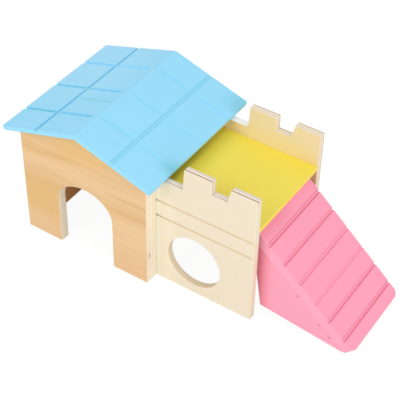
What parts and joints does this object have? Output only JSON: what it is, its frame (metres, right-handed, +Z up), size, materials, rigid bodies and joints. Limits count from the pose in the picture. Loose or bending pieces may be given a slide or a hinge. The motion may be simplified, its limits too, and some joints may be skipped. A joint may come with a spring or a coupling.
{
  "type": "wooden hamster house",
  "caption": "Small wooden pet house: gabled hut with an arched doorway, crenellated plywood tower with a round hole and a deck, and a grooved ramp up to the deck.",
  "frame": {"origin": "middle of the overall box's base, on the floor", "axes": "+X from the hut towards the foot of the ramp, +Y from the doorway gable to the back gable, +Z up"},
  "size_m": [0.2526, 0.1114, 0.1054],
  "materials": {
    "gable_wood": "bare light brown plywood, sawn and sanded",
    "plain_ply": "bare pale plywood, sawn and sanded",
    "blue_paint": "wood painted matt light blue",
    "yellow_paint": "wood painted matt yellow",
    "pink_paint": "wood painted matt pink",
    "brad_steel": "bright drawn wire"
  },
  "bodies": {
    "root": {"front_gable": "gable_wood", "back_gable": "gable_wood", "left_side_wall": "gable_wood", "right_side_wall": "gable_wood", "left_roof_board": "blue_paint", "right_roof_board": "blue_paint", "tower_front_wall": "plain_ply", "tower_back_wall": "plain_ply", "front_deck_cleat": "plain_ply", "back_deck_cleat": "plain_ply", "deck": "yellow_paint", "ramp_board": "pink_paint", "front_ramp_cheek": "pink_paint", "back_ramp_cheek": "pink_paint", "left_roof_brads": "brad_steel", "right_roof_brads": "brad_steel", "tower_brads": "brad_steel", "ramp_brads": "brad_steel"}
  },
  "joints": []
}
